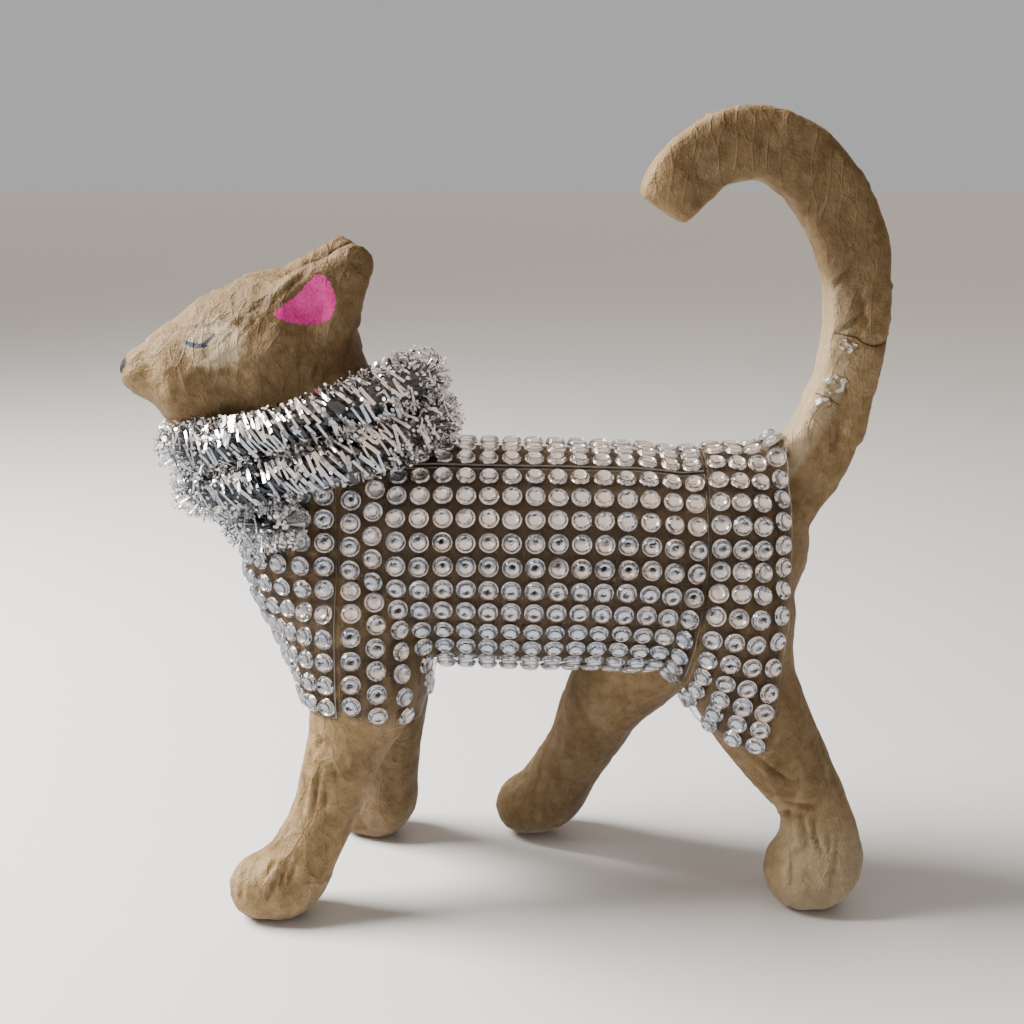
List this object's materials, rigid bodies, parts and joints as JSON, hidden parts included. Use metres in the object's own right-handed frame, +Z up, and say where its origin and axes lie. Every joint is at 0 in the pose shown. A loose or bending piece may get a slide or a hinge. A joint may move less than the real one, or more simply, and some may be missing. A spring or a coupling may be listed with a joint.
{
  "type": "cat figurine",
  "caption": "Walking papier-mache cat ornament with a raised curled tail, coated on body and chest with rhinestone sheets, a silver tinsel garland round its neck.",
  "frame": {"origin": "on the surface it stands on, under the middle of the whole figure's box", "axes": "+Z up; the cat walks towards -X; its left side faces -Y, its right side +Y"},
  "size_m": [0.1564, 0.056, 0.167],
  "materials": {
    "kraft_paper": "brown kraft papier-mache, crumpled, matt with glossy glue patches",
    "rhinestone_film": "clear cut stones with silvered backs on clear film",
    "silver_tinsel": "bright silver metallised foil strips"
  },
  "bodies": {
    "root": {"paper_cat": "kraft_paper", "tinsel_garland": "silver_tinsel", "chest_sheet": "rhinestone_film", "back_sheet": "rhinestone_film", "left_flank_sheet": "rhinestone_film", "right_flank_sheet": "rhinestone_film", "left_rump_sheet": "rhinestone_film", "right_rump_sheet": "rhinestone_film"}
  },
  "joints": []
}
